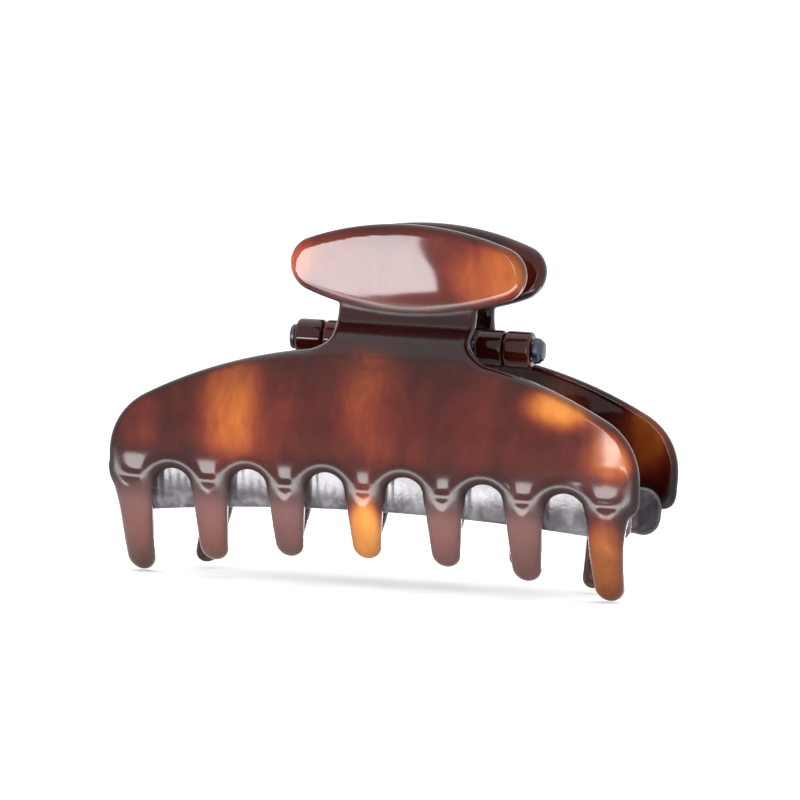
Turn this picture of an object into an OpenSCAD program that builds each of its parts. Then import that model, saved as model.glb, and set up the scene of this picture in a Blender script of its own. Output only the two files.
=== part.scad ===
// Claw clip: two toothed jaws on a pinned hinge, closed by a torsion spring.
// X runs along the hinge, -Y is the front jaw, +Z is up; the tooth tips stand on z = 0.

/* [Body] */
// half the length of the comb body, mm
body_half = 41; // [39:0.5:43]
// wall thickness of both mouldings, mm
wall = 2.4; // [2:0.1:2.8]
// how far the front of each jaw stands out from the hinge plane, mm
bulge = 15.2; // [14:0.2:16]
// height of the hinge above the lowest tooth tips, mm
hinge_height = 36.1; // [35:0.1:37]
// sideways place of the hinge and the handles, measured from the body centre, mm
hinge_x = 2.4; // [1:0.1:3]
// radius of the slight bow of each jaw seen from above, mm
bow_radius = 300; // [220:10:400]

/* [Teeth] */
// distance between two teeth, mm
pitch = 12.1; // [11.8:0.1:12.2]
// tooth width at the root, mm
root_w = 5.7; // [5.3:0.1:5.8]
// tooth width at the tip, mm
tip_w = 4.3; // [3.8:0.1:4.6]
// height of the tooth row's middle tips above the end tips, mm
tip_rise = 4.2; // [3:0.1:4.4]

/* [Handles] */
// half the width of each thumb pad, mm
pad_half_w = 18.2; // [17:0.2:19]
// half the height of each thumb pad, mm
pad_half_h = 6.8; // [6.4:0.1:7]
// outward lean of each thumb pad, degrees
pad_lean = 9; // [6:1:12]

/* [Hinge] */
// outside radius of the hinge barrel, mm
barrel_r = 2.8; // [2.6:0.1:2.9]
// radius of the steel pin, mm
pin_r = 1; // [0.8:0.1:1.1]
// radial clearance of the pin in the knuckles, mm
pin_fit = 0.06; // [0.04:0.01:0.09]
// wire radius of the torsion spring, mm
wire_r = 0.45; // [0.35:0.05:0.5]

/* [Grip strips] */
// thickness of the soft strips inside the jaws, mm
strip_t = 1.1; // [0.8:0.1:1.4]

/* [Hidden] */

big = 120;
row_x = -0.4;
rear_tip_drop = 0.8;
knuckle_w = 4.1;
knuckle_gap = 0.2;
barrel_half = 18.2;
bore_r = pin_r + pin_fit;
stop_w = 1.8;
stop_gap = 0.15;
stops = [hinge_x - 7.6, hinge_x + 5.8];
gap_half = (pitch - root_w) / 2;
end_gap_half = 2.3;

// side profile, u outwards and z up from the hinge
profile_z = -14;
claw_r = 37;
shoulder_r = 19.5;
shoulder_u = bulge - shoulder_r;
waist_r = 5;
waist_u = 5.4 + waist_r;
waist_z = profile_z + sqrt(pow(shoulder_r + waist_r, 2) - pow(waist_u - shoulder_u, 2));
waist_angle = atan2(waist_z - profile_z, waist_u - shoulder_u);
pad_foot_u = waist_u - waist_r * cos(pad_lean);
pad_foot_z = waist_z + waist_r * sin(pad_lean);
pad_top_z = 18.1;

// front outline
corner_r = 10;
corner_z = -18;
crown_r = 70;
crown_x = 2;
crown_z = corner_z - sqrt(pow(crown_r - corner_r, 2) - pow(body_half - corner_r - crown_x, 2));
crown_end = atan2(corner_z - crown_z, body_half - corner_r - crown_x);
neck_half = 10.6;
skirt_z = -23.2;
arch_z = -19.2;
tip_z = tip_rise - hinge_height;
pad_mid_z = pad_top_z - pad_half_h;
pad_end_r = 4.2;
pad_end_x = pad_half_w - pad_end_r;
pad_arc_r = (pow(pad_end_x, 2) + pow(pad_half_h, 2) - pow(pad_end_r, 2))
            / (2 * (pad_half_h - pad_end_r));
pad_tangent = atan2(pad_arc_r - pad_half_h, pad_end_x);

// grip strips
strip_low = -24.8;
strip_h = 7;
strip_bow = 300;
strip_end_r = 3;
strip_gap = 0.12;

function row_drop(x) = pow((x - row_x) / (3 * pitch), 2);
function arch_top(x) = arch_z - 1.4 * row_drop(x);

// a circular band of the side profile between two heights
module band(u, z, r, t, z_low, z_high) {
  intersection() {
    translate([u, z])
      difference() {
        circle(r = r + t / 2, $fn = 360);
        circle(r = r - t / 2, $fn = 360);
      }
    translate([0, z_low])
      square([big, z_high - z_low]);
  }
}

// the claw-shaped lower run of the side profile, set inwards by an amount
module claw_profile(inset, t, z_low) {
  band(bulge - claw_r, profile_z, claw_r - inset, t, z_low, profile_z);
}

// the shoulder between the claw and the waist
module shoulder_profile() {
  intersection() {
    translate([shoulder_u, profile_z])
      difference() {
        circle(r = shoulder_r + wall / 2, $fn = 360);
        circle(r = shoulder_r - wall / 2, $fn = 360);
      }
    translate([shoulder_u, profile_z])
      polygon([[0, 0], [big, 0], [big, big * tan(waist_angle)]]);
  }
}

// the waist that turns the profile outwards into the handle
module waist_profile() {
  intersection() {
    translate([waist_u, waist_z])
      difference() {
        circle(r = waist_r + wall / 2, $fn = 180);
        circle(r = waist_r - wall / 2, $fn = 180);
      }
    translate([waist_u, waist_z])
      polygon([[0, 0], [-big * cos(pad_lean), big * sin(pad_lean)],
               [-big * cos(waist_angle + 1.2), -big * sin(waist_angle + 1.2)]]);
  }
}

// the leaning handle
module handle_profile() {
  translate([pad_foot_u, pad_foot_z])
    rotate(-pad_lean)
      translate([-wall / 2, -0.1])
        square([wall, 16]);
}

// turns a side profile into a jaw wall that is slightly bowed along its length
module bow() {
  translate([0, bow_radius, 0])
    rotate([0, 0, -100])
      rotate_extrude(angle = 20, $fn = 720)
        translate([bow_radius, 0])
          children();
}

module through() {
  rotate([90, 0, 0])
    linear_extrude(height = 60)
      children();
}

// the arched shoulders and the straight skirt below them
module body_outline() {
  for (side = [0, 1])
    mirror([side, 0]) {
      intersection() {
        translate([crown_x, crown_z])
          circle(r = crown_r, $fn = 360);
        translate([0, corner_z])
          polygon([[0, 0], [body_half - corner_r, 0],
                   [crown_x + crown_r * cos(crown_end), crown_z + crown_r * sin(crown_end) - corner_z],
                   [crown_x + crown_r * cos(crown_end), 30], [0, 30]]);
      }
      translate([body_half - corner_r, corner_z])
        circle(r = corner_r, $fn = 180);
      translate([0, skirt_z + 3])
        square([body_half, corner_z - skirt_z - 3]);
      translate([0, skirt_z])
        square([body_half - 3, 4]);
      translate([body_half - 3, skirt_z + 3])
        circle(r = 3, $fn = 72);
    }
}

// an arch cut between two teeth
module gap_outline(x, half) {
  translate([x, arch_top(x) - half])
    circle(r = half, $fn = 72);
  translate([x - half, -big])
    square([2 * half, big + arch_top(x) - half]);
}

module tooth_outline(x, foot) {
  polygon([[x - root_w / 2, skirt_z], [x - root_w / 2, skirt_z + 3], [x + root_w / 2, skirt_z + 3],
           [x + root_w / 2, skirt_z], [x + tip_w / 2, foot + tip_w / 2], [x - tip_w / 2, foot + tip_w / 2]]);
  translate([x, foot + tip_w / 2])
    circle(r = tip_w / 2, $fn = 72);
}

// carries the end of the body smoothly down into an end tooth
module end_tooth_root(side, x) {
  outer = x + side * root_w / 2;
  polygon([[side * body_half, corner_z], [outer, skirt_z - 3], [x, skirt_z], [x, corner_z]]);
}

module neck_outline() {
  difference() {
    translate([hinge_x - neck_half - 2, -3])
      square([2 * neck_half + 4, 11.5]);
    for (side = [-1, 1])
      translate([hinge_x + side * (neck_half + 2.6), 3.4])
        circle(r = 3.4, $fn = 72);
    for (side = [-1, 1])
      translate([hinge_x + side * (neck_half + 2.6) - 1.5, 3.4])
        square([3, 8]);
  }
}

// a pad bounded by two long arcs and two small end arcs
module pad_outline() {
  translate([hinge_x, pad_mid_z]) {
    intersection() {
      translate([0, pad_half_h - pad_arc_r])
        circle(r = pad_arc_r, $fn = 360);
      translate([0, pad_arc_r - pad_half_h])
        circle(r = pad_arc_r, $fn = 360);
      square([2 * (pad_end_x + pad_end_r * cos(pad_tangent)), 2 * pad_half_h], center = true);
    }
    for (side = [-1, 1])
      translate([side * pad_end_x, 0])
        circle(r = pad_end_r, $fn = 72);
  }
}

// one hinge knuckle with the web that ties it to the shoulder
module knuckle(x) {
  translate([x, 0, 0])
    rotate([90, 0, 90])
      linear_extrude(height = knuckle_w) {
        circle(r = barrel_r, $fn = 72);
        polygon([[0, -barrel_r], [-11.6, -6.4], [-11.2, -3.4], [-9.4, -0.8], [-1.6, 2.2]]);
      }
}

// a small rib that meets its twin on the other jaw and stops the clip closing further
module stop_rib(x) {
  translate([x, 0, 0])
    rotate([90, 0, 90])
      linear_extrude(height = stop_w)
        polygon([[-stop_gap, -6.2], [-stop_gap, -9.4], [-14.7, -12.4], [-13.3, -6.2]]);
}

module jaw(teeth_x, cuts, tips, ends_in_teeth) {
  difference() {
    union() {
      intersection() {
        bow()
          claw_profile(0, wall, -40);
        through() {
          difference() {
            body_outline();
            for (cut = cuts)
              gap_outline(cut[0], cut[1]);
          }
          for (i = [0 : len(teeth_x) - 1])
            tooth_outline(teeth_x[i], tips[i]);
          if (ends_in_teeth) {
            end_tooth_root(-1, teeth_x[0]);
            end_tooth_root(1, teeth_x[len(teeth_x) - 1]);
          }
        }
      }
      intersection() {
        bow()
          shoulder_profile();
        through() {
          body_outline();
          neck_outline();
        }
      }
      intersection() {
        bow()
          waist_profile();
        through() {
          neck_outline();
          pad_outline();
        }
      }
      intersection() {
        bow()
          handle_profile();
        through() {
          neck_outline();
          pad_outline();
        }
      }
      children();
    }
    translate([hinge_x - 30, 0, 0])
      rotate([0, 90, 0])
        cylinder(r = bore_r, h = 60, $fn = 48);
  }
}

// height of the strip's middle line at a place along the jaw
function strip_mid(x) = strip_low - strip_bow + sqrt(pow(strip_bow + strip_h / 2, 2) - x * x);

// a gently arched strip with round ends
module strip_outline(half) {
  intersection() {
    translate([0, strip_low - strip_bow])
      difference() {
        circle(r = strip_bow + strip_h, $fn = 720);
        circle(r = strip_bow, $fn = 720);
      }
    union() {
      translate([-half + strip_end_r, strip_low - 15])
        square([2 * (half - strip_end_r), 40]);
      for (x = [strip_end_r - half, half - strip_end_r])
        translate([x, strip_mid(x)])
          circle(r = strip_end_r, $fn = 72);
    }
  }
}

module strip() {
  intersection() {
    bow()
      claw_profile((wall + strip_t) / 2 + strip_gap, strip_t, strip_low - 9);
    through()
      strip_outline(body_half - 1.6);
  }
}

module front_jaw() {
  count = 7;
  first = row_x - pitch * (count - 1) / 2;
  teeth_x = [for (i = [0 : count - 1]) first + i * pitch];
  cuts = [for (i = [0 : count - 2]) [first + (i + 0.5) * pitch, gap_half]];
  tips = [for (x = teeth_x) tip_z - tip_rise * row_drop(x)];
  color([0.42, 0.16, 0.09])
    translate([0, 0, hinge_height])
      jaw(teeth_x, cuts, tips, true) {
        knuckle(hinge_x - barrel_half);
        knuckle(hinge_x + barrel_half - 2 * knuckle_w - knuckle_gap);
        for (x = stops)
          stop_rib(x);
      }
}

module rear_jaw() {
  count = 6;
  first = row_x - pitch * (count - 1) / 2;
  teeth_x = [for (i = [0 : count - 1]) first + i * pitch];
  inner = [for (i = [0 : count - 2]) [first + (i + 0.5) * pitch, gap_half]];
  end_gap = pitch * (count - 1) / 2 + root_w / 2 + end_gap_half;
  ends = [for (side = [-1, 1]) [row_x + side * end_gap, end_gap_half]];
  tips = [for (x = teeth_x) tip_z - (tip_rise + rear_tip_drop) * row_drop(x)];
  color([0.42, 0.16, 0.09])
    translate([0, 0, hinge_height])
      mirror([0, 1, 0])
        jaw(teeth_x, concat(inner, ends), tips, false) {
          knuckle(hinge_x - barrel_half + knuckle_w + knuckle_gap);
          knuckle(hinge_x + barrel_half - knuckle_w);
          for (x = stops)
            stop_rib(x);
        }
}

module hinge_pin() {
  color([0.7, 0.71, 0.73])
    translate([hinge_x, 0, hinge_height])
      rotate([0, 90, 0]) {
        translate([0, 0, -barrel_half - 0.3])
          cylinder(r = pin_r, h = 2 * barrel_half + 1.5, $fn = 48);
        translate([0, 0, -barrel_half - 1.1])
          cylinder(r = 1.9, h = 0.9, $fn = 48);
      }
}

module pin_cap() {
  color([0.6, 0.61, 0.64])
    translate([hinge_x + barrel_half + 0.2, 0, hinge_height])
      rotate([0, 90, 0])
        difference() {
          union() {
            cylinder(r = 2, h = 1, $fn = 48);
            cylinder(r = 1.6, h = 1.6, $fn = 48);
          }
          translate([0, 0, -1])
            cylinder(r = pin_r, h = 2.1, $fn = 48);
        }
}

// spring wire: a leg to the front handle, the coil, and a leg to the rear handle
coil_r = 2.3;
coil_half = 7.6;
leg_lean = 10;
leg_reach = 10.2;
turns = 14;
steps = 16;
wire_sides = 8;
coil_sweep = 360 * turns + 180 - 2 * leg_lean;
coil_start = 180 + leg_lean;
coil_points = floor(coil_sweep / 360 * steps);

function coil_angle(i) = coil_start + coil_sweep * i / coil_points;
function coil_x(i) = -coil_half + 2 * coil_half * i / coil_points;
function leg_end(angle, way) = [way * coil_half,
                                coil_r * cos(angle) + leg_reach * way * sin(leg_lean),
                                coil_r * sin(angle) + leg_reach * cos(leg_lean)];
// each entry is a point and the angle of its radial direction
function spring_path() = concat(
  [[leg_end(coil_start, -1), coil_start]],
  [for (i = [0 : coil_points])
    [[coil_x(i), coil_r * cos(coil_angle(i)), coil_r * sin(coil_angle(i))], coil_angle(i)]],
  [[leg_end(-leg_lean, 1), -leg_lean]]);
function wire_ring(entry) = [for (k = [0 : wire_sides - 1])
  entry[0] + wire_r * [cos(k * 360 / wire_sides),
                       sin(k * 360 / wire_sides) * cos(entry[1]),
                       sin(k * 360 / wire_sides) * sin(entry[1])]];

module torsion_spring() {
  path = spring_path();
  rings = [for (entry = path) wire_ring(entry)];
  points = [for (ring = rings) for (p = ring) p];
  n = wire_sides;
  last = len(path) - 1;
  sides = [for (j = [0 : last - 1]) for (k = [0 : n - 1])
    [j * n + k, j * n + (k + 1) % n, (j + 1) * n + (k + 1) % n, (j + 1) * n + k]];
  start_cap = [[for (k = [0 : n - 1]) n - 1 - k]];
  end_cap = [[for (k = [0 : n - 1]) last * n + k]];
  color([0.75, 0.76, 0.78])
    translate([hinge_x, 0, hinge_height])
      polyhedron(points = points, faces = concat(sides, start_cap, end_cap), convexity = 20);
}

module front_grip_strip() {
  color([0.72, 0.72, 0.74])
    translate([0, 0, hinge_height])
      strip();
}

module rear_grip_strip() {
  color([0.72, 0.72, 0.74])
    translate([0, 0, hinge_height])
      mirror([0, 1, 0])
        strip();
}

front_jaw();
rear_jaw();
hinge_pin();
pin_cap();
torsion_spring();
front_grip_strip();
rear_grip_strip();
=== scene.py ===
"""Looks of the claw clip: two moulded tortoiseshell jaws, steel pin, cap and spring, soft grip strips."""
import math

import bpy
import numpy as np
from mathutils import Matrix, Vector


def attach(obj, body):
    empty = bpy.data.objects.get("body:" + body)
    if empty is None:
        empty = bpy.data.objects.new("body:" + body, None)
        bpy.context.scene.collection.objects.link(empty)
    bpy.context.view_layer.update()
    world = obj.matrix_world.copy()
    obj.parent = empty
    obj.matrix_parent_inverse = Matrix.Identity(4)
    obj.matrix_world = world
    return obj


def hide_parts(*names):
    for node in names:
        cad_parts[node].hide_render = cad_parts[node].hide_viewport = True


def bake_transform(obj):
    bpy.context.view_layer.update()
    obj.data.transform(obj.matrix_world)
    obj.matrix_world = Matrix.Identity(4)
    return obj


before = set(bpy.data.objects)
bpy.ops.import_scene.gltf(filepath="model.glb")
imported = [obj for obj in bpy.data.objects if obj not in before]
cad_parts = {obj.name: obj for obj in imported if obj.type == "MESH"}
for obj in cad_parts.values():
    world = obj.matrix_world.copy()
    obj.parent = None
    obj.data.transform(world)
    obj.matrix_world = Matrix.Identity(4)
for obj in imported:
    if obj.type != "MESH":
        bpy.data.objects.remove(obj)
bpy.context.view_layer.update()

MM = 0.001
HINGE_Z = 36.1
HINGE_X = 2.4

# comb body, in mm from the body centre and the hinge height
BODY_HALF = 40.85
CORNER_R = 10.0
CORNER_Z = -18.0
CROWN_R = 70.0
CROWN_X = 2.0
CROWN_Z = CORNER_Z - math.sqrt((CROWN_R - CORNER_R) ** 2 - (BODY_HALF - CORNER_R - CROWN_X) ** 2)
SKIRT_Z = -23.2
ARCH_Z = -19.2
ROW_X = -0.4
PITCH = 12.1
ROOT_W = 5.7
TIP_W = 4.3
TIP_RISE = 4.2
REAR_TIP_DROP = 0.8
REAR_SLIM = 0.22
SKIRT_ROUND = 2.4
ARCH_DROP = 1.4
ARCH_TAPER = 0.05
END_FLARE = 1.25
END_GAP_R = 2.3

# side profile
WALL = 2.36
BULGE = 15.2
PROFILE_Z = -14.0
CLAW_R = 37.0
SHOULDER_R = 19.5
WAIST_R = 5.0
WAIST_U = 5.4 + WAIST_R
SHOULDER_U = BULGE - SHOULDER_R
WAIST_Z = PROFILE_Z + math.sqrt((SHOULDER_R + WAIST_R) ** 2 - (WAIST_U - SHOULDER_U) ** 2)
WAIST_ANGLE = math.atan2(WAIST_Z - PROFILE_Z, WAIST_U - SHOULDER_U)
PAD_LEAN = math.radians(9.0)
BOW_R = 300.0

# grip strips
CAD_WALL = 2.4
STRIP_T = 1.1
STRIP_GAP = 0.12
STRIP_LOW = -24.8
STRIP_H = 7.0
STRIP_BOW = 300.0
STRIP_HALF = BODY_HALF - 1.6
STRIP_END_R = 2.9
STRIP_LOOK_T = 0.9
STRIP_EDGE_R = 0.42
RIB = 0.045
RIB_PITCH = 1.3

# handles and hinge
NECK_HALF = 10.6
NECK_FLARE = 1.6
NECK_MID_Z = 2.5
NECK_RISE = 6.0
NECK_BLEND = 2.2
PAD_HALF_W = 18.2
PAD_HALF_H = 6.77
PAD_MID_Z = 18.05 - PAD_HALF_H
PAD_END_R = 4.2
PAD_END_X = PAD_HALF_W - PAD_END_R
PAD_PROUD = 0.8
PAD_DOME = 0.3
PAD_ARC_R = (PAD_END_X ** 2 + PAD_HALF_H ** 2 - PAD_END_R ** 2) / (2 * (PAD_HALF_H - PAD_END_R))
BARREL_R = 2.8
BARREL_HALF = 18.2
KNUCKLE_W = 4.1
KNUCKLE_GAP = 0.2
BORE_R = 1.06
PIN_R = 1.0
LEFT_END = HINGE_X - BARREL_HALF
RIGHT_END = HINGE_X + BARREL_HALF


# ---------------------------------------------------------------- distance fields

def soft_min(a, b, k):
    h = np.clip(0.5 + 0.5 * (b - a) / k, 0, 1)
    return b + (a - b) * h - k * h * (1 - h)


def soft_max(a, b, k):
    return -soft_min(-a, -b, k)


def ramp(low, high, value):
    t = np.clip((value - low) / (high - low), 0, 1)
    return t * t * (3 - 2 * t)


def rounded_join(a, b, r):
    """The corner where two boundaries meet, rounded to radius r."""
    qa, qb = a + r, b + r
    outside = np.hypot(np.maximum(qa, 0), np.maximum(qb, 0))
    return outside + np.minimum(np.maximum(qa, qb), 0) - r


def row_drop(x):
    return ((x - ROW_X) / (3 * PITCH)) ** 2


def body_field(x, z):
    side = np.abs(x)
    corner = np.hypot(side - (BODY_HALF - CORNER_R), z - CORNER_Z) - CORNER_R
    crown = np.hypot(side - CROWN_X, z - CROWN_Z) - CROWN_R
    across = (side - (BODY_HALF - CORNER_R)) * (CORNER_Z - CROWN_Z)
    along = (z - CORNER_Z) * (BODY_HALF - CORNER_R - CROWN_X)
    upper = np.where(across > along, corner, crown)
    upper = np.where(side < CROWN_X, z - CROWN_Z - CROWN_R, upper)
    return np.where(z < CORNER_Z, side - BODY_HALF, upper)


def pad_field(x, z):
    side, up = np.abs(x - HINGE_X), np.abs(z - PAD_MID_Z)
    drop = PAD_ARC_R - PAD_HALF_H
    end = np.hypot(side - PAD_END_X, up) - PAD_END_R
    arc = np.hypot(side, up + drop) - PAD_ARC_R
    return np.where((side - PAD_END_X) * drop - up * PAD_END_X > 0, end, arc)


def neck_field(x, z):
    flare = NECK_FLARE * ramp(1.2, -2.5, z)
    return rounded_join(np.abs(x - HINGE_X) - NECK_HALF - flare, np.abs(z - NECK_MID_Z) - NECK_RISE, 0.5)


def outline_field(x, z, comb):
    body = soft_max(body_field(x, z), SKIRT_Z - z, SKIRT_ROUND)
    for centre, half in comb["gaps"]:
        low = ARCH_Z - ARCH_DROP * row_drop(centre) - half
        slot = np.hypot(x - centre, np.maximum(z - low, 0)) - half - ARCH_TAPER * np.maximum(low - z, 0)
        body = soft_max(body, -slot, 0.5)
    for centre, foot, outer in comb["teeth"]:
        tip_r = TIP_W / 2 - comb["slim"]
        low = foot + tip_r
        share = np.clip((z - low) / (SKIRT_Z - low), 0, 1.2)
        width = tip_r + (ROOT_W - TIP_W) / 2 * share
        shifted = x - centre
        bar = np.where(z > low, np.abs(shifted) - width, np.hypot(shifted, z - low) - tip_r)
        bar = np.maximum(bar, z - SKIRT_Z - 3)
        if outer:
            reach = width + END_FLARE * ramp(SKIRT_Z - 5, CORNER_Z, z)
            bar = np.where((shifted * outer > 0) & (z > low), np.abs(shifted) - reach, bar)
            bar = np.maximum(bar, z - SKIRT_Z - 3)
        body = soft_min(body, bar, 0.7)
    return body


def profile_offset(u, z):
    """Distance from the middle of the wall, positive outwards."""
    claw = np.hypot(u - BULGE + CLAW_R, z - PROFILE_Z) - CLAW_R
    shoulder = np.hypot(u - SHOULDER_U, z - PROFILE_Z) - SHOULDER_R
    waist = WAIST_R - np.hypot(u - WAIST_U, z - WAIST_Z)
    foot_u = WAIST_U - WAIST_R * math.cos(PAD_LEAN)
    foot_z = WAIST_Z + WAIST_R * math.sin(PAD_LEAN)
    handle = (u - foot_u) * math.cos(PAD_LEAN) - (z - foot_z) * math.sin(PAD_LEAN)
    past_shoulder = (z - PROFILE_Z) * math.cos(WAIST_ANGLE) > (u - SHOULDER_U) * math.sin(WAIST_ANGLE)
    past_waist = (u - WAIST_U) * math.sin(PAD_LEAN) + (z - WAIST_Z) * math.cos(PAD_LEAN) > 0
    upper = np.where(past_waist, handle, waist)
    return np.where(z < PROFILE_Z, claw, np.where(past_shoulder, upper, shoulder))


def prism_field(x, y, z, low, high, corners, r):
    """A plate between two x positions with a convex polygon as its side view."""
    side = -1e3
    for (y0, z0), (y1, z1) in zip(corners, corners[1:] + corners[:1]):
        length = math.hypot(y1 - y0, z1 - z0)
        side = np.maximum(side, ((y - y0) * (z1 - z0) - (z - z0) * (y1 - y0)) / length)
    return rounded_join(side, np.abs(x - (low + high) / 2) - (high - low) / 2, r)


# side views of the knuckle web and the stop rib, (y, z) from the hinge
WEB = [(-12.2, -6.4), (-11.4, -3.4), (-9.4, -0.8), (-1.6, 2.2), (0.0, -BARREL_R)]
STOP = [(-14.4, -12.4), (-13.3, -6.2), (-0.15, -6.2), (-0.15, -9.4)]
STOPS = [HINGE_X - 7.6, HINGE_X + 5.8]
STOP_W = 1.8
EDGE_R = 1.05
PAD_EDGE_R = 1.45
BEAD = 0.2
SPINE = 0.35


def jaw_field(x, y, z, comb):
    """The front jaw, in mm from the body centre and the hinge axis, negative inside."""
    u = np.hypot(x, y - BOW_R) - BOW_R
    offset = profile_offset(u, z)
    flat = outline_field(x, z, comb)
    pad = pad_field(x, z)
    skin = soft_min(flat, neck_field(x, z), NECK_BLEND)
    depth = np.maximum(-skin, 0)
    bead = BEAD * np.exp(-((depth - 1.3) / 0.8) ** 2) * ramp(-15.0, -20.5, z) * ramp(-26.0, -21.5, z)
    raised = bead + SPINE * ramp(0.3, 2.4, depth) * ramp(-18.0, -31.0, z)
    jaw = rounded_join(skin, np.abs(offset - raised / 2) - (WALL + raised) / 2, EDGE_R)
    proud = PAD_PROUD + PAD_DOME * ramp(-0.6, 6.2, -pad)
    disc = rounded_join(pad, np.abs(offset - proud / 2) - (WALL + proud) / 2, PAD_EDGE_R)
    jaw = soft_min(jaw, disc, 0.35)
    for low in comb["knuckles"]:
        high = low + KNUCKLE_W
        across = np.abs(x - (low + high) / 2) - KNUCKLE_W / 2
        barrel = rounded_join(np.hypot(y, z) - BARREL_R, across, 0.4)
        web = prism_field(x, y, z, low, high, WEB, 0.4)
        jaw = soft_min(jaw, soft_min(barrel, web, 0.5), 0.9)
    for low in STOPS:
        jaw = soft_min(jaw, prism_field(x, y, z, low, low + STOP_W, STOP, 0.35), 0.7)
    return soft_max(jaw, BORE_R - np.hypot(y, z), 0.15)


def painted_jaw_shade(x, y, z, comb):
    """Painted shade: how far the plastic colour is darkened at moulded edges and arches, along the row of
    arches, in the crease under the pad, on the neck, on the barrel and on the inside faces.
    """
    u = np.hypot(x, y - BOW_R) - BOW_R
    pad = pad_field(x, z)
    skin = np.minimum(np.minimum(outline_field(x, z, comb), neck_field(x, z)), pad)
    depth = np.maximum(-skin, 0)
    row = ramp(-16.0, -18.5, z) * ramp(-26.0, -22.0, z)
    outline = 0.6 * np.exp(-(depth / 0.7) ** 2) * ramp(-27.0, -22.5, z)
    edge = outline + np.exp(-(depth / 2.0) ** 2) * row
    lower = ramp(PAD_MID_Z - 1.0, PAD_MID_Z - 4.0, z)
    crease = np.exp(-((pad - 0.3) / 1.1) ** 2) * lower
    neck = 0.7 * ramp(-3.0, 0.5, z) * ramp(0.5, 1.5, pad)
    inside = 0.3 * ramp(0.4, -0.6, profile_offset(u, z))
    # painted shade: the strongest of the edge, arch, row, pad crease, neck and inside darkenings
    painted_shade = np.maximum.reduce([edge * ramp(-0.5, 0.5, pad), 0.3 * row, crease, neck, inside])
    # painted shade on the hinge barrel is held at a low 0.1
    barrel = ramp(5.0, 3.4, np.hypot(y, z))
    return np.clip(painted_shade * (1 - barrel) + 0.1 * barrel, 0, 1)


# ---------------------------------------------------------------- meshes from fields

def net_mesh(field, low, high, step):
    """Quads on the zero surface of a field: one vertex for each grid cell that the surface crosses."""
    axes = [np.arange(a, b + step, step, dtype=np.float32) for a, b in zip(low, high)]
    gx, gy, gz = np.meshgrid(*axes, indexing="ij", sparse=True)
    values = np.ascontiguousarray(np.broadcast_to(field(gx, gy, gz), [len(a) for a in axes]), np.float32)
    inside = values < 0
    shape = np.array(values.shape) - 1
    count = np.zeros(shape, np.int8)
    corners = [(i, j, k) for i in (0, 1) for j in (0, 1) for k in (0, 1)]
    for i, j, k in corners:
        count += inside[i:shape[0] + i, j:shape[1] + j, k:shape[2] + k]
    cells = np.argwhere((count > 0) & (count < 8))
    number = np.full(shape, -1, np.int64)
    number[tuple(cells.T)] = np.arange(len(cells))
    at = {c: values[tuple((cells + c).T)] for c in corners}
    total, hits = np.zeros((len(cells), 3)), np.zeros(len(cells))
    for a in corners:
        for axis in range(3):
            if a[axis]:
                continue
            b = tuple(1 if n == axis else v for n, v in enumerate(a))
            cross = (at[a] < 0) != (at[b] < 0)
            t = np.where(cross, at[a] / np.where(cross, at[a] - at[b], 1), 0)
            point = np.tile(np.array(a, float), (len(cells), 1))
            point[:, axis] += t
            total += point * cross[:, None]
            hits += cross
    verts = (cells + total / hits[:, None]) * step + np.array([a[0] for a in axes])
    faces = []
    for axis in range(3):
        p, q = (axis + 1) % 3, (axis + 2) % 3
        first = [slice(None)] * 3
        second = [slice(None)] * 3
        first[axis], second[axis] = slice(0, -1), slice(1, None)
        cross = np.argwhere(inside[tuple(first)] != inside[tuple(second)])
        cross = cross[(cross[:, p] > 0) & (cross[:, q] > 0)]
        cross = cross[(cross[:, p] < shape[p]) & (cross[:, q] < shape[q])]
        ring = []
        for dp, dq in ((0, 0), (1, 0), (1, 1), (0, 1)):
            cell = cross.copy()
            cell[:, p] -= 1 - dp
            cell[:, q] -= 1 - dq
            ring.append(number[tuple(cell.T)])
        quad = np.stack(ring, 1)
        flip = ~inside[tuple(cross.T)]
        quad[flip] = quad[flip][:, ::-1]
        faces.append(quad)
    return verts, np.concatenate(faces)


def settle(verts, field, rounds=3):
    """Moves each vertex onto the exact surface."""
    h = 0.02
    for _ in range(rounds):
        x, y, z = verts.T
        value = field(x, y, z)
        slope = np.stack([
            field(x + h, y, z) - field(x - h, y, z),
            field(x, y + h, z) - field(x, y - h, z),
            field(x, y, z + h) - field(x, y, z - h)], 1) / (2 * h)
        push = value / np.maximum((slope ** 2).sum(1), 0.25)
        verts = verts - slope * np.clip(push, -0.2, 0.2)[:, None]
    return verts


def make_object(name, verts, faces, material):
    """verts are in mm, from the body centre and the hinge height; faces are an array or a list of tuples."""
    mesh = bpy.data.meshes.new(name)
    world = np.asarray(verts, float) * MM
    world[:, 2] += HINGE_Z * MM
    mesh.from_pydata(world.tolist(), [], faces if isinstance(faces, list) else faces.tolist())
    mesh.validate()
    mesh.update()
    mesh.polygons.foreach_set("use_smooth", [True] * len(mesh.polygons))
    mesh.materials.append(material)
    obj = bpy.data.objects.new(name, mesh)
    bpy.context.scene.collection.objects.link(obj)
    return obj


# ---------------------------------------------------------------- materials

def new_material(name):
    material = bpy.data.materials.new(name)
    material.use_nodes = True
    nodes = material.node_tree.nodes
    return material, nodes, material.node_tree.links, nodes["Principled BSDF"]


def color_ramp(nodes, stops):
    node = nodes.new("ShaderNodeValToRGB")
    node.color_ramp.interpolation = "B_SPLINE"
    elements = node.color_ramp.elements
    while len(elements) > 1:
        elements.remove(elements[-1])
    elements[0].position, elements[0].color = stops[0][0], (*stops[0][1], 1)
    for place, color in stops[1:]:
        elements.new(place).color = (*color, 1)
    return node


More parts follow.
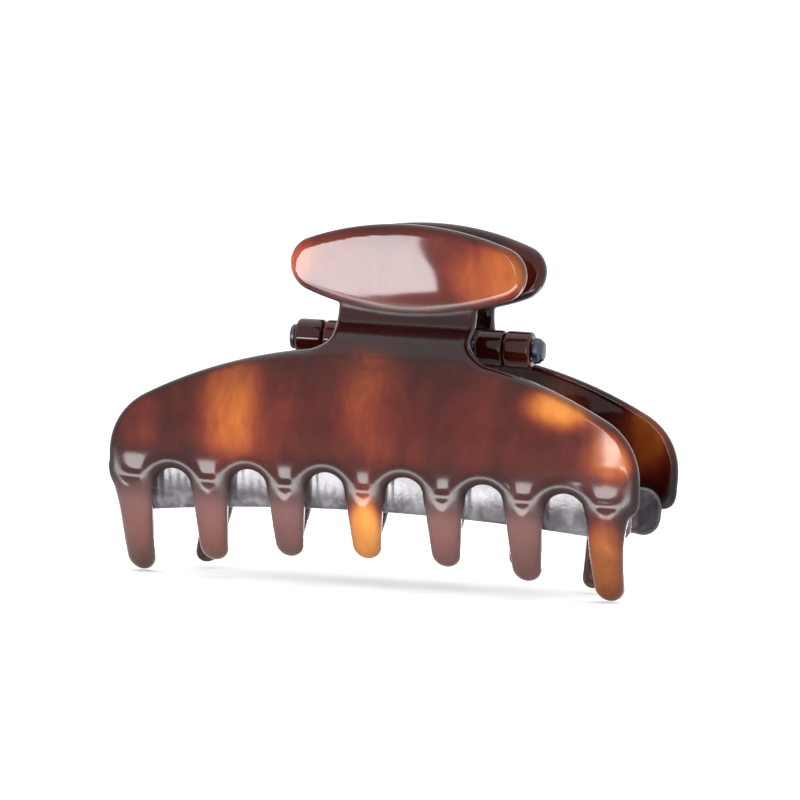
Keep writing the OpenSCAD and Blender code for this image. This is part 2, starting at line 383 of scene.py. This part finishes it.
def noise(nodes, links, vector, scale, detail=3.0, rough=0.5, distortion=0.0):
    node = nodes.new("ShaderNodeTexNoise")
    node.inputs["Scale"].default_value = scale
    node.inputs["Detail"].default_value = detail
    node.inputs["Roughness"].default_value = rough
    node.inputs["Distortion"].default_value = distortion
    links.new(vector, node.inputs["Vector"])
    return node.outputs["Fac"]


def math_node(nodes, links, kind, a, b):
    node = nodes.new("ShaderNodeMath")
    node.operation = kind
    for socket, value in zip(node.inputs, (a, b)):
        if isinstance(value, (int, float)):
            socket.default_value = value
        else:
            links.new(value, socket)
    return node.outputs[0]


def add_scaled(nodes, links, total, value, weight):
    return math_node(nodes, links, "ADD", total, math_node(nodes, links, "MULTIPLY", value, weight))


def mix_color(nodes, links, factor, a, b):
    node = nodes.new("ShaderNodeMix")
    node.data_type = "RGBA"
    for socket, value in ((node.inputs[0], factor), (node.inputs[6], a), (node.inputs[7], b)):
        if isinstance(value, tuple):
            socket.default_value = (*value, 1)
        else:
            links.new(value, socket)
    return node.outputs[2]


def painted(nodes, label):
    """The value that jaw_paint stored under this name."""
    node = nodes.new("ShaderNodeAttribute")
    node.attribute_name = label
    return node.outputs["Fac"]


def patch(nodes, links, place, centre, radii):
    """A soft blob, 1 at its centre and 0 at its edge; centre and radii in metres."""
    move = nodes.new("ShaderNodeMapping")
    move.vector_type = "POINT"
    move.inputs["Scale"].default_value = [1 / r for r in radii]
    move.inputs["Location"].default_value = [-c / r for c, r in zip(centre, radii)]
    links.new(place, move.inputs["Vector"])
    length = nodes.new("ShaderNodeVectorMath")
    length.operation = "LENGTH"
    links.new(move.outputs[0], length.inputs[0])
    spread = nodes.new("ShaderNodeMapRange")
    spread.interpolation_type = "SMOOTHERSTEP"
    spread.inputs["From Min"].default_value = 1.0
    spread.inputs["From Max"].default_value = 0.15
    links.new(length.outputs["Value"], spread.inputs["Value"])
    return spread.outputs[0]


# amber and brown clouds in the plastic: centre and radii in mm from the body centre and the hinge height
CLOUDS = [
    ((-22.0, -11.0), (8.5, 16.0), 0.27), ((-36.0, -12.0), (6.0, 9.0), 0.12),
    ((-1.0, -8.5), (7.0, 17.0), 0.15), ((29.5, -7.0), (10.0, 6.0), 0.44),
    ((37.0, -14.0), (7.0, 8.0), 0.30), ((18.0, 10.5), (12.0, 11.0), 0.25),
    ((-15.5, 12.0), (7.0, 7.0), 0.16), ((-36.7, -30.0), (5.0, 9.0), 0.22),
    ((-24.6, -30.0), (5.0, 9.0), 0.28), ((-12.5, -30.0), (5.0, 9.0), 0.12),
    ((-0.4, -28.0), (5.5, 11.0), 0.50), ((11.7, -30.0), (5.0, 9.0), 0.12),
    ((23.8, -30.0), (5.0, 9.0), 0.10), ((35.9, -31.0), (5.5, 12.0), 0.30),
]
REAR_CLOUD = ((-35.0, -13.0), (10.0, 10.0), 0.20)
CLOUD_Y = -10.0
CLOUD_DEPTH = 45.0
# pale grey painted onto the teeth as the glow of light shining through them
BACKLIT_GLOW = (0.115, 0.066, 0.064)
POLISH = 0.08
TORTOISE = [(0.02, (0.007, 0.0006, 0.0005)), (0.20, (0.014, 0.0011, 0.0008)), (0.36, (0.036, 0.0034, 0.0022)),
            (0.50, (0.092, 0.013, 0.0040)), (0.66, (0.22, 0.058, 0.008)), (0.85, (0.43, 0.175, 0.030))]


def tortoiseshell(name, front):
    material, nodes, links, shader = new_material(name)
    where = nodes.new("ShaderNodeTexCoord").outputs["Object"]
    stretch = nodes.new("ShaderNodeMapping")
    stretch.inputs["Scale"].default_value = (1.0, 1.0, 0.5)
    stretch.inputs["Location"].default_value = (0.0, 0.0, 0.0) if front else (0.31, 0.17, 0.05)
    links.new(where, stretch.inputs["Vector"])
    place = stretch.outputs[0]
    clouds = noise(nodes, links, place, 95.0, 2.5, 0.55, 0.6)
    fine = noise(nodes, links, place, 420.0, 4.0, 0.6, 1.2)
    streak = noise(nodes, links, place, 210.0, 3.0, 0.5, 2.5)
    tone = math_node(nodes, links, "MULTIPLY", clouds, 0.42)
    tone = add_scaled(nodes, links, tone, streak, 0.12)
    tone = add_scaled(nodes, links, tone, fine, 0.07)
    side = 1 if front else -1
    for (cx, cz), (rx, rz), strength in CLOUDS + ([] if front else [REAR_CLOUD]):
        centre = (side * cx * MM, side * CLOUD_Y * MM, (cz + HINGE_Z) * MM)
        blob = patch(nodes, links, where, centre, (rx * MM, CLOUD_DEPTH * MM, rz * MM))
        tone = add_scaled(nodes, links, tone, blob, strength)
    # painted shade stored on the mesh darkens the tortoiseshell tone
    tone = add_scaled(nodes, links, tone, painted(nodes, "painted_shade"), -0.3)
    colors = color_ramp(nodes, TORTOISE)
    links.new(tone, colors.inputs["Fac"])
    # painted glow of light through the teeth, mixed into the tortoiseshell colour
    mixed = mix_color(nodes, links, painted(nodes, "backlit_glow"), colors.outputs["Color"], BACKLIT_GLOW)
    links.new(mixed, shader.inputs["Base Color"])
    links.new(painted(nodes, "satin"), shader.inputs["Roughness"])
    shader.inputs["IOR"].default_value = 1.47
    shader.inputs["Specular IOR Level"].default_value = 0.30
    shader.inputs["Transmission Weight"].default_value = 0.05
    shader.inputs["Subsurface Weight"].default_value = 0.15
    shader.inputs["Subsurface Radius"].default_value = (0.9, 0.35, 0.15)
    shader.inputs["Subsurface Scale"].default_value = 0.002
    wave = nodes.new("ShaderNodeBump")
    wave.inputs["Strength"].default_value = 0.06
    wave.inputs["Distance"].default_value = 0.0004
    links.new(noise(nodes, links, where, 150.0, 2.0), wave.inputs["Height"])
    links.new(wave.outputs[0], shader.inputs["Normal"])
    return material


def soft_grip(name):
    material, nodes, links, shader = new_material(name)
    where = nodes.new("ShaderNodeTexCoord").outputs["Object"]
    tint = color_ramp(nodes, [(0.34, (0.045, 0.037, 0.044)), (0.50, (0.085, 0.075, 0.086)),
                              (0.66, (0.19, 0.185, 0.205))])
    links.new(noise(nodes, links, where, 210.0, 3.0, 0.6, 0.8), tint.inputs["Fac"])
    links.new(tint.outputs["Color"], shader.inputs["Base Color"])
    shader.inputs["Roughness"].default_value = 0.18
    shader.inputs["Transmission Weight"].default_value = 0.3
    shader.inputs["Subsurface Weight"].default_value = 0.3
    shader.inputs["Subsurface Scale"].default_value = 0.002
    bump = nodes.new("ShaderNodeBump")
    bump.inputs["Strength"].default_value = 0.25
    bump.inputs["Distance"].default_value = 0.0001
    links.new(noise(nodes, links, where, 2600.0, 2.0), bump.inputs["Height"])
    links.new(bump.outputs[0], shader.inputs["Normal"])
    return material


def steel(name, tone, rough):
    material, nodes, links, shader = new_material(name)
    where = nodes.new("ShaderNodeTexCoord").outputs["Object"]
    grain = nodes.new("ShaderNodeMapping")
    grain.inputs["Scale"].default_value = (0.15, 1.0, 1.0)
    links.new(where, grain.inputs["Vector"])
    lines = noise(nodes, links, grain.outputs[0], 4200.0, 4.0)
    tint = color_ramp(nodes, [(0.3, tuple(0.72 * c for c in tone)), (0.7, tone)])
    links.new(lines, tint.inputs["Fac"])
    links.new(tint.outputs["Color"], shader.inputs["Base Color"])
    spread = nodes.new("ShaderNodeMapRange")
    spread.inputs["To Min"].default_value = rough * 0.7
    spread.inputs["To Max"].default_value = rough * 1.4
    links.new(lines, spread.inputs["Value"])
    links.new(spread.outputs[0], shader.inputs["Roughness"])
    shader.inputs["Metallic"].default_value = 1.0
    return material


# ---------------------------------------------------------------- pieces

def comb(count, drop, extra_gaps, knuckles, outer):
    """One tooth row: its gaps, its teeth with an outward side for the end ones, and its knuckles."""
    first = ROW_X - PITCH * (count - 1) / 2
    centres = [first + i * PITCH for i in range(count)]
    feet = [TIP_RISE - HINGE_Z - (TIP_RISE + drop) * row_drop(x) for x in centres]
    sides = [0] * count
    if outer:
        sides[0], sides[-1] = -1, 1
    gaps = [(first + (i + 0.5) * PITCH, GAP_R) for i in range(count - 1)] + extra_gaps
    return {"gaps": gaps, "teeth": list(zip(centres, feet, sides)), "slim": 0 if outer else REAR_SLIM,
            "knuckles": knuckles}


GAP_R = (PITCH - ROOT_W) / 2
END_GAP = PITCH * 2.5 + ROOT_W / 2 + END_GAP_R
REAR_ENDS = [(ROW_X - END_GAP, END_GAP_R), (ROW_X + END_GAP, END_GAP_R)]
FRONT = comb(7, 0.0, [], [LEFT_END, RIGHT_END - 2 * KNUCKLE_W - KNUCKLE_GAP], True)
REAR = comb(6, REAR_TIP_DROP, REAR_ENDS, [LEFT_END + KNUCKLE_W + KNUCKLE_GAP, RIGHT_END - KNUCKLE_W], False)


def jaw_paint(verts, layout, rear):
    """Values at each vertex for the plastic: its painted shade, the painted glow of light through the teeth,
    and its roughness.
    """
    x, y, z = verts.T
    seen_x = -x if rear else x
    amber = np.maximum(np.exp(-((seen_x - ROW_X) / 4.5) ** 2), ramp(30.0, 32.0, seen_x))
    # painted glow: the teeth turn toward the pale grey below z -21, less on the amber teeth
    backlit_glow = 0.62 * ramp(-21.0, -26.0, z) * (1 - 0.85 * amber)
    arch = np.exp(-(np.maximum(-outline_field(x, z, layout), 0) / 1.3) ** 2)
    arch = arch * ramp(-16.0, -18.5, z) * ramp(-25.0, -22.0, z)
    under = np.exp(-((pad_field(x, z) + 0.3) / 0.9) ** 2) * ramp(PAD_MID_Z - 2.0, PAD_MID_Z - 4.5, z)
    satin = POLISH + 0.50 * np.maximum(arch, under)
    return {"painted_shade": painted_jaw_shade(x, y, z, layout), "backlit_glow": backlit_glow, "satin": satin}


def build_jaw(name, layout, rear, material):
    step = 0.32

    def field(x, y, z):
        return jaw_field(x, y, z, layout)

    verts, faces = net_mesh(field, (-42.0, -17.6, -37.2), (42.0, 4.0, 19.0), step)
    verts = settle(verts, field)
    paint = jaw_paint(verts, layout, rear)
    if rear:
        verts = verts * np.array([1, -1, 1])
        faces = faces[:, ::-1]
    obj = make_object(name, verts, faces, material)
    # stores the painted shade, the painted glow on the teeth and the roughness on the mesh
    for label, values in paint.items():
        data = obj.data.attributes.new(label, "FLOAT", "POINT").data
        data.foreach_set("value", values.astype(np.float32))
    return obj


def tube(name, rings, radius, sides, material):
    """rings: centre, first cross direction and second cross direction of each ring, in mm from the hinge."""
    verts, faces = [], []
    for centre, a, b in rings:
        for k in range(sides):
            t = 2 * math.pi * k / sides
            verts.append(np.array(centre) + radius * (math.cos(t) * np.array(a) + math.sin(t) * np.array(b)))
    for j in range(len(rings) - 1):
        for k in range(sides):
            n = (k + 1) % sides
            faces.append((j * sides + k, (j + 1) * sides + k, (j + 1) * sides + n, j * sides + n))
    faces.append(tuple(range(sides)))
    faces.append(tuple(len(rings) * sides - 1 - k for k in range(sides)))
    return make_object(name, np.array(verts), faces, material)


COIL_R = 2.3
COIL_HALF = 7.6
WIRE_R = 0.45
LEG_LEAN = math.radians(10.0)
LEG_REACH = 10.0
LEG_STEPS = 6
TURNS = 14
TURN_STEPS = 40
WIRE_SIDES = 14


def build_spring(material):
    sweep = 2 * math.pi * TURNS + math.pi - 2 * LEG_LEAN
    start = math.pi + LEG_LEAN
    rings = []

    def ring(x, y, z, angle):
        rings.append(((HINGE_X + x, y, z), (1, 0, 0), (0, math.cos(angle), math.sin(angle))))

    for way, angle in ((-1, start), (1, -LEG_LEAN)):
        leg = []
        for i in range(LEG_STEPS + 1):
            reach = LEG_REACH * (1 - i / LEG_STEPS)
            leg.append((way * COIL_HALF,
                        COIL_R * math.cos(angle) + reach * way * math.sin(LEG_LEAN),
                        COIL_R * math.sin(angle) + reach * math.cos(LEG_LEAN), angle))
        if way < 0:
            for item in leg[:-1]:
                ring(*item)
            steps = TURNS * TURN_STEPS
            for i in range(steps + 1):
                turn = start + sweep * i / steps
                x = -COIL_HALF + 2 * COIL_HALF * i / steps
                ring(x, COIL_R * math.cos(turn), COIL_R * math.sin(turn), turn)
        else:
            for item in leg[:-1][::-1]:
                ring(*item)
    return tube("torsion_spring_wire", rings, WIRE_R, WIRE_SIDES, material)


def lathe(name, profile, material, sides=64):
    """Turns (x, radius) points about the hinge axis."""
    rings = []
    for x, r in profile:
        rings.append([(x, r * math.cos(2 * math.pi * k / sides), r * math.sin(2 * math.pi * k / sides))
                      for k in range(sides)])
    verts = [p for r in rings for p in r]
    faces = []
    for j in range(len(profile) - 1):
        for k in range(sides):
            n = (k + 1) % sides
            faces.append((j * sides + k, j * sides + n, (j + 1) * sides + n, (j + 1) * sides + k))
    faces.append(tuple(sides - 1 - k for k in range(sides)))
    faces.append(tuple((len(profile) - 1) * sides + k for k in range(sides)))
    return make_object(name, np.array(verts), faces, material)


def arc(x, r, radius, start, stop, count=7):
    """Points (x, radius) along an arc, angles in degrees, 0 along +x and 90 outwards."""
    angles = [math.radians(start + (stop - start) * i / count) for i in range(count + 1)]
    return [(x + radius * math.cos(a), r + radius * math.sin(a)) for a in angles]


def strip_field(x, y, z):
    u = np.hypot(x, y - BOW_R) - BOW_R
    layer = profile_offset(u, z) + CAD_WALL / 2 + STRIP_GAP + STRIP_T / 2
    low = np.hypot(x, z - STRIP_LOW + STRIP_BOW) - STRIP_BOW
    sheet = np.maximum(-low, low - STRIP_H)
    flat = rounded_join(sheet, np.abs(x) - STRIP_HALF, STRIP_END_R)
    ribs = RIB * np.cos(x * 2 * math.pi / RIB_PITCH) * ramp(0.5, 1.4, -flat)
    return rounded_join(flat, np.abs(layer) - STRIP_LOOK_T / 2 - ribs, STRIP_EDGE_R)


def build_strip(name, rear, material):
    step = 0.25
    verts, faces = net_mesh(strip_field, (-40.5, -15.0, -30.0), (40.5, -7.0, -15.5), step)
    verts = settle(verts, strip_field)
    if rear:
        verts = verts * np.array([1, -1, 1])
        faces = faces[:, ::-1]
    return make_object(name, verts, faces, material)


shell_front = tortoiseshell("tortoiseshell_front", True)
shell_rear = tortoiseshell("tortoiseshell_rear", False)
grip = soft_grip("soft_grip")
wire = steel("spring_steel", (0.78, 0.79, 0.82), 0.22)
pin_steel = steel("pin_steel", (0.075, 0.085, 0.12), 0.36)

front = build_jaw("front_jaw_moulding", FRONT, False, shell_front)
rear = build_jaw("rear_jaw_moulding", REAR, True, shell_rear)
front_strip = build_strip("front_grip_liner", False, grip)
rear_strip = build_strip("rear_grip_liner", True, grip)
spring = build_spring(wire)

# side views of the pin with its formed head and of the push-on cap, (x, radius) from tip to tip
pin_outline = [(LEFT_END - 1.08, 0.25), (LEFT_END - 1.02, 0.9)]
pin_outline += arc(LEFT_END - 0.72, 1.5, 0.35, 180, 90)
pin_outline += arc(LEFT_END - 0.45, 1.7, 0.18, 90, 0)
pin_outline += [(LEFT_END - 0.24, 1.05), (LEFT_END - 0.1, PIN_R), (RIGHT_END + 1.0, PIN_R)]
pin_outline += [(RIGHT_END + 1.14, 0.85), (RIGHT_END + 1.17, 0.3)]
pin = lathe("hinge_pin_steel", pin_outline, pin_steel)
cap_outline = [(RIGHT_END + 0.22, 1.02), (RIGHT_END + 0.24, 1.8)]
cap_outline += arc(RIGHT_END + 0.45, 1.78, 0.2, 180, 90)
cap_outline += arc(RIGHT_END + 0.95, 1.6, 0.3, 75, 15)
cap_outline += arc(RIGHT_END + 1.3, 1.1, 0.45, 75, 20)
cap_outline += [(RIGHT_END + 1.78, 0.3)]
cap = lathe("pin_cap_steel", cap_outline, pin_steel)

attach(front, "front")
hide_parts("front_jaw")
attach(rear, "rear")
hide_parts("rear_jaw")
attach(front_strip, "front")
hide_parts("front_grip_strip")
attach(rear_strip, "rear")
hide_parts("rear_grip_strip")
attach(pin, "front")
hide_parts("hinge_pin")
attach(cap, "front")
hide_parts("pin_cap")
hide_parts("torsion_spring")
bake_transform(spring)


# ---------------------------------------------------------------- stage, light and camera

def area_light(name, place, aim, size, power, size_y=None, turn=0.0):
    data = bpy.data.lights.new(name, "AREA")
    data.shape = "RECTANGLE"
    data.size, data.size_y = size, size_y or size
    data.energy = power
    obj = bpy.data.objects.new(name, data)
    obj.location = place
    obj.rotation_mode = "QUATERNION"
    facing = (Vector(aim) - Vector(place)).to_track_quat("-Z", "Y")
    obj.rotation_quaternion = facing @ Matrix.Rotation(turn, 3, "Z").to_quaternion()
    obj.visible_camera = False
    bpy.context.scene.collection.objects.link(obj)
    return obj


FLOOR_HALF = 6.0
FLOOR_DROP = 0.0002
floor_mesh = bpy.data.meshes.new("floor")
floor_corners = [(a * FLOOR_HALF, b * FLOOR_HALF, 0) for a, b in ((-1, -1), (1, -1), (1, 1), (-1, 1))]
floor_mesh.from_pydata(floor_corners, [], [(0, 1, 2, 3)])
floor = bpy.data.objects.new("floor", floor_mesh)
bpy.context.scene.collection.objects.link(floor)
floor.location.z = -FLOOR_DROP
paper, _, _, paper_shader = new_material("paper_floor")
paper_shader.inputs["Base Color"].default_value = (0.96, 0.96, 0.96, 1)
paper_shader.inputs["Roughness"].default_value = 0.9
paper_shader.inputs["Emission Color"].default_value = (1, 1, 1, 1)
paper_shader.inputs["Emission Strength"].default_value = 0.15
floor_mesh.materials.append(paper)

world = bpy.data.worlds.new("studio")
world.use_nodes = True
world.node_tree.nodes["Background"].inputs["Color"].default_value = (1, 1, 1, 1)
world.node_tree.nodes["Background"].inputs["Strength"].default_value = 1.3
bpy.context.scene.world = world

CARD_LIFT = 0.0004
END_CARD_Y = -0.115
END_CARD_W = 0.0028
area_light("soft_top", (0.0, 0.2, 1.6), (0, 0, 0.03), 1.6, 4.0)
area_light("root_card", (-0.010, -0.053, CARD_LIFT), (-0.010, -0.053, 1), 0.15, 0.25, size_y=0.034)
area_light("pad_card", (-0.029, -0.060, 0.033), (-0.029, -0.060, 1), 0.045, 0.245, size_y=0.074, turn=0.265)
area_light("end_card_long", (0.035, END_CARD_Y, 0.048), (0.035, 0, 0.048), END_CARD_W, 0.016,
           size_y=0.080, turn=0.04)
area_light("end_card_short", (0.038, END_CARD_Y, 0.025), (0.038, 0, 0.025), END_CARD_W, 0.008,
           size_y=0.040, turn=-0.09)
area_light("back_card", (0.010, 0.060, CARD_LIFT), (0.010, 0.060, 1), 0.15, 0.10, size_y=0.030)

bpy.context.scene.view_settings.view_transform = "Standard"

AZIMUTH = math.radians(15.2)
ELEVATION = math.radians(3.0)
ROLL = math.radians(2.8)
DISTANCE = 1.2
AIM = Vector((0.0004, 0, 0.0275))
camera_data = bpy.data.cameras.new("camera")
camera_data.sensor_width = 36.0
camera_data.lens = 360.0
camera_data.clip_start, camera_data.clip_end = 0.02, 30
camera = bpy.data.objects.new("camera", camera_data)
bpy.context.scene.collection.objects.link(camera)
level = math.cos(ELEVATION)
back = Vector((math.sin(AZIMUTH) * level, -math.cos(AZIMUTH) * level, math.sin(ELEVATION)))
camera.location = AIM + back * DISTANCE
camera.rotation_mode = "QUATERNION"
camera.rotation_quaternion = (-back).to_track_quat("-Z", "Y") @ Matrix.Rotation(ROLL, 3, "Z").to_quaternion()
bpy.context.scene.camera = camera
